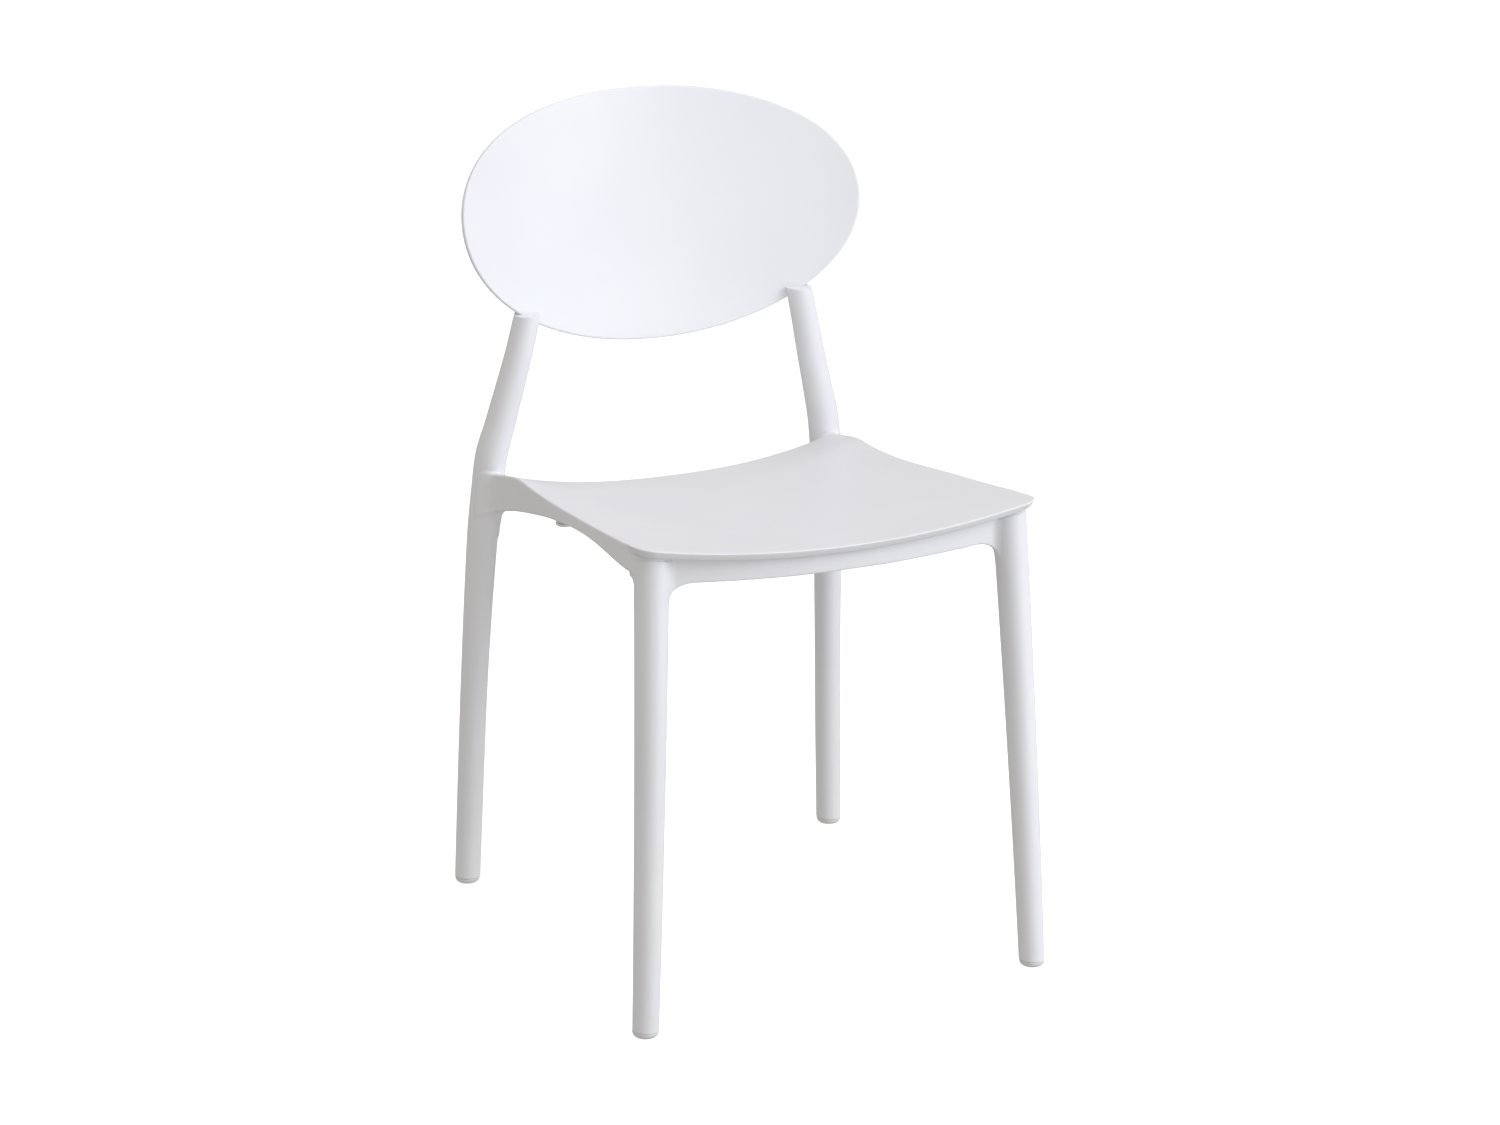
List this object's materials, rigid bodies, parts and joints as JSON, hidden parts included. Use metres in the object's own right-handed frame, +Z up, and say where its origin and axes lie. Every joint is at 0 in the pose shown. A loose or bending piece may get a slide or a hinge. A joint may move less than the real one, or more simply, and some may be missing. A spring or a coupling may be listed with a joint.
{
  "type": "stacking chair",
  "caption": "White moulded stacking chair with an oval curved back panel, a saddle-shaped seat and round tapered legs that splay to the floor.",
  "frame": {"origin": "on the floor, below the middle of the chair's bounding box", "axes": "+Z up, the front of the chair faces -Y, +X to the right seen from the front"},
  "size_m": [0.4446, 0.5005, 0.7997],
  "materials": {
    "white_plastic": "satin, injection moulded",
    "glide_plastic": "matt",
    "bumper_rubber": "soft matt",
    "zinc_steel": "zinc plated",
    "brass": "turned"
  },
  "bodies": {
    "root": {"back_screw_left_1": "zinc_steel", "back_screw_left_2": "zinc_steel", "back_screw_right_1": "zinc_steel", "back_screw_right_2": "zinc_steel", "backrest": "white_plastic", "bumper_left": "bumper_rubber", "bumper_right": "bumper_rubber", "front_leg_left": "white_plastic", "front_leg_right": "white_plastic", "glide_front_left": "glide_plastic", "glide_front_right": "glide_plastic", "glide_rear_left": "glide_plastic", "glide_rear_right": "glide_plastic", "insert_front_left_1": "brass", "insert_front_left_2": "brass", "insert_front_right_1": "brass", "insert_front_right_2": "brass", "insert_rear_left_1": "brass", "insert_rear_left_2": "brass", "insert_rear_right_1": "brass", "insert_rear_right_2": "brass", "leg_screw_front_left_1": "zinc_steel", "leg_screw_front_left_2": "zinc_steel", "leg_screw_front_right_1": "zinc_steel", "leg_screw_front_right_2": "zinc_steel", "leg_screw_rear_left_1": "zinc_steel", "leg_screw_rear_left_2": "zinc_steel", "leg_screw_rear_right_1": "zinc_steel", "leg_screw_rear_right_2": "zinc_steel", "rear_leg_left": "white_plastic", "rear_leg_right": "white_plastic", "seat_shell": "white_plastic"}
  },
  "joints": []
}
